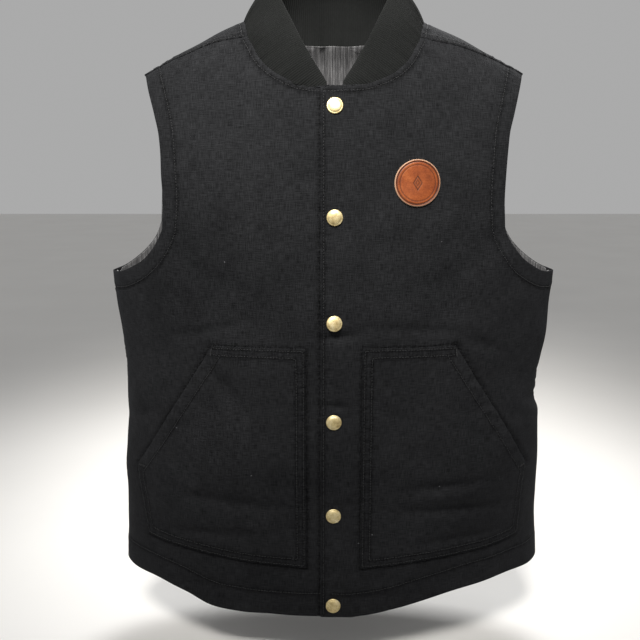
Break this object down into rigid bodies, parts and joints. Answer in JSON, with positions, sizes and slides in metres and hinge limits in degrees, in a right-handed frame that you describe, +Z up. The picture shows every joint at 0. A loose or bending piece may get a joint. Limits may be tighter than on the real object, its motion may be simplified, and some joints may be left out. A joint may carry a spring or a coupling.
{
  "type": "utility work vest",
  "caption": "Sleeveless canvas work vest with a rib knit stand collar, a snap front, slanted patch pockets, a lining and a round leather chest patch.",
  "frame": {"origin": "the wearer mount: midway between the two high shoulder points, where the neck seam crosses the shoulder ridge, on the wearer's centre plane", "axes": "+Z up, -Y the way the wearer faces, +X towards the wearer's left"},
  "size_m": [0.5558, 0.1997, 0.7528],
  "materials": {
    "canvas": "black cotton duck canvas, matt, faint plain weave",
    "knit": "black rib knit, matt",
    "lining": "grey woven lining with thin darker streaks",
    "leather": "orange-brown leather, satin, tooled rings",
    "brass": "antique brass, softly worn"
  },
  "bodies": {
    "root": {"front_panel_right": "canvas", "front_panel_left": "canvas", "back_panel": "canvas", "pocket_right": "canvas", "pocket_left": "canvas", "lining_front_right": "lining", "lining_front_left": "lining", "lining_back": "lining", "collar_rib": "knit", "leather_patch": "leather", "snap_cap_1": "brass", "snap_cap_2": "brass", "snap_cap_3": "brass", "snap_cap_4": "brass", "snap_cap_5": "brass", "snap_cap_6": "brass", "snap_stud_1": "brass", "snap_stud_2": "brass", "snap_stud_3": "brass", "snap_stud_4": "brass", "snap_stud_5": "brass", "snap_stud_6": "brass"}
  },
  "joints": []
}
